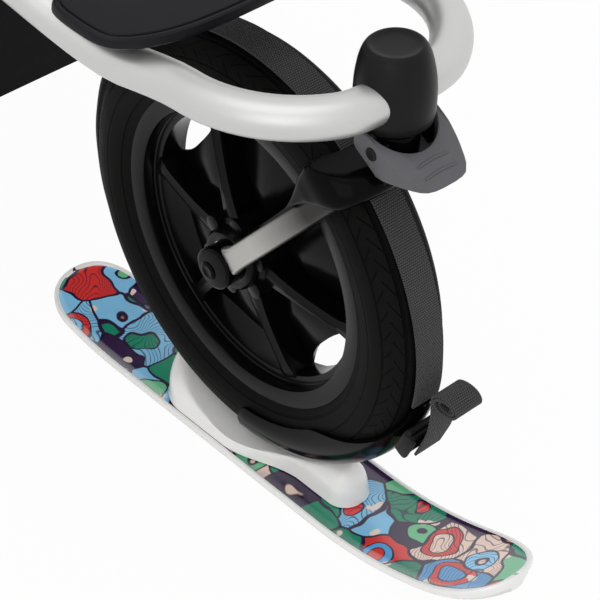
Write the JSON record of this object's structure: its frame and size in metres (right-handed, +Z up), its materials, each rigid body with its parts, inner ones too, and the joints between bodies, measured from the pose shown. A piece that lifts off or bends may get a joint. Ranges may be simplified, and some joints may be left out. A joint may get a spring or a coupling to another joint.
{
  "type": "sled stroller",
  "caption": "Folding stroller frame with swivelling front fork, spoked wheels strapped into cradles on short skis, padded seat, reclining back, basket and push handle.",
  "frame": {"origin": "centre of the footprint, on the plane of the ski soles", "axes": "+Z up, the stroller travels towards -Y, +X is its right-hand side seen from behind"},
  "size_m": [0.614, 1.111, 1.0902],
  "materials": {
    "satin_aluminium": "satin",
    "dark_plastic": "matt black moulded",
    "slate_plastic": "matt blue-grey moulded",
    "rim_plastic": "semi-gloss black",
    "tyre_rubber": "matt black tread",
    "ski_top": null,
    "white_plastic": "glossy white",
    "webbing": "ribbed black webbing",
    "steel": "zinc plated",
    "fabric": "black woven cloth",
    "grip_foam": "foam"
  },
  "bodies": {
    "frame": {"front_frame_tube": "satin_aluminium", "swivel_housing": "dark_plastic", "housing_cap": "dark_plastic", "footrest_plate": "slate_plastic", "fold_hub_left": "dark_plastic", "fold_hub_right": "dark_plastic", "fold_pin_left": "steel", "fold_pin_right": "steel", "seat_crossbar": "steel", "recline_tube": "steel", "seat_board": "dark_plastic", "seat_cushion": "fabric", "crotch_strap": "webbing", "harness_buckle": "dark_plastic", "basket": "fabric"},
    "caster": {"fork_crown": "dark_plastic", "fork_leg_left": "satin_aluminium", "fork_leg_right": "satin_aluminium", "crown_bolt": "steel", "front_axle": "steel", "swivel_pin": "steel", "swivel_bearing": "dark_plastic", "lever_pin": "steel"},
    "lock_lever": {"swivel_lock_lever": "slate_plastic"},
    "front_wheel": {"front_tyre": "tyre_rubber", "front_rim": "rim_plastic", "front_ski_board": "ski_top", "front_ski_plinth": "white_plastic", "front_ski_cradle": "dark_plastic", "front_ski_strap": "webbing", "front_ski_buckle": "dark_plastic", "front_bearing_left": "steel", "front_bearing_right": "steel", "front_strap_roll": "webbing"},
    "rear_legs": {"rear_leg_left": "satin_aluminium", "rear_leg_right": "satin_aluminium", "rear_axle_beam": "steel", "rear_axle_left": "steel", "rear_axle_right": "steel"},
    "brake_pedal": {"brake_pedal": "slate_plastic"},
    "rear_wheel_left": {"rear_left_tyre": "tyre_rubber", "rear_left_rim": "rim_plastic", "rear_left_ski_board": "ski_top", "rear_left_ski_plinth": "white_plastic", "rear_left_ski_cradle": "dark_plastic", "rear_left_ski_strap": "webbing", "rear_left_ski_buckle": "dark_plastic"},
    "rear_wheel_right": {"rear_right_tyre": "tyre_rubber", "rear_right_rim": "rim_plastic", "rear_right_ski_board": "ski_top", "rear_right_ski_plinth": "white_plastic", "rear_right_ski_cradle": "dark_plastic", "rear_right_ski_strap": "webbing", "rear_right_ski_buckle": "dark_plastic"},
    "push_bar": {"push_tube_left": "satin_aluminium", "push_tube_right": "satin_aluminium"},
    "handle": {"handle_bar": "satin_aluminium", "handle_grip": "grip_foam"},
    "backrest": {"backrest_board": "dark_plastic", "backrest_pad": "fabric"}
  },
  "joints": [
    {"name": "front_swivel", "type": "hinge", "parent": "frame", "child": "caster", "pos_m": [0, -0.4395, 0.177], "axis": [0, 0, 1], "continuous": true},
    {"name": "swivel_lock_lever_tilt", "type": "hinge", "parent": "caster", "child": "lock_lever", "pos_m": [0, -0.4485, 0.3245], "axis": [-1, 0, 0], "range_deg": [0, 10]},
    {"name": "front_ski_pitch", "type": "hinge", "parent": "caster", "child": "front_wheel", "pos_m": [0, -0.3215, 0.177], "axis": [1, 0, 0], "range_deg": [-12, 12]},
    {"name": "frame_fold", "type": "hinge", "parent": "frame", "child": "push_bar", "pos_m": [0, 0.0785, 0.56831], "axis": [1, 0, 0], "range_deg": [0, 114]},
    {"name": "rear_leg_fold", "type": "hinge", "parent": "frame", "child": "rear_legs", "pos_m": [0, 0.0785, 0.56831], "axis": [1, 0, 0], "range_deg": [-24, 0]},
    {"name": "rear_left_ski_pitch", "type": "hinge", "parent": "rear_legs", "child": "rear_wheel_left", "pos_m": [-0.27, 0.3385, 0.177], "axis": [1, 0, 0], "range_deg": [-12, 12]},
    {"name": "rear_right_ski_pitch", "type": "hinge", "parent": "rear_legs", "child": "rear_wheel_right", "pos_m": [0.27, 0.3385, 0.177], "axis": [1, 0, 0], "range_deg": [-12, 12]},
    {"name": "brake_pedal_press", "type": "hinge", "parent": "rear_legs", "child": "brake_pedal", "pos_m": [0, 0.3385, 0.177], "axis": [-1, 0, 0], "range_deg": [0, 25]},
    {"name": "handle_height", "type": "hinge", "parent": "push_bar", "child": "handle", "pos_m": [0, 0.4188, 0.98113], "axis": [1, 0, 0], "range_deg": [-35, 35]},
    {"name": "backrest_recline", "type": "hinge", "parent": "push_bar", "child": "backrest", "pos_m": [0, 0.0785, 0.56831], "axis": [-1, 0, 0], "range_deg": [0, 35]}
  ],
  "couplings": [
    {"joint": "rear_leg_fold", "follows": "frame_fold", "ratio": -0.21}
  ]
}
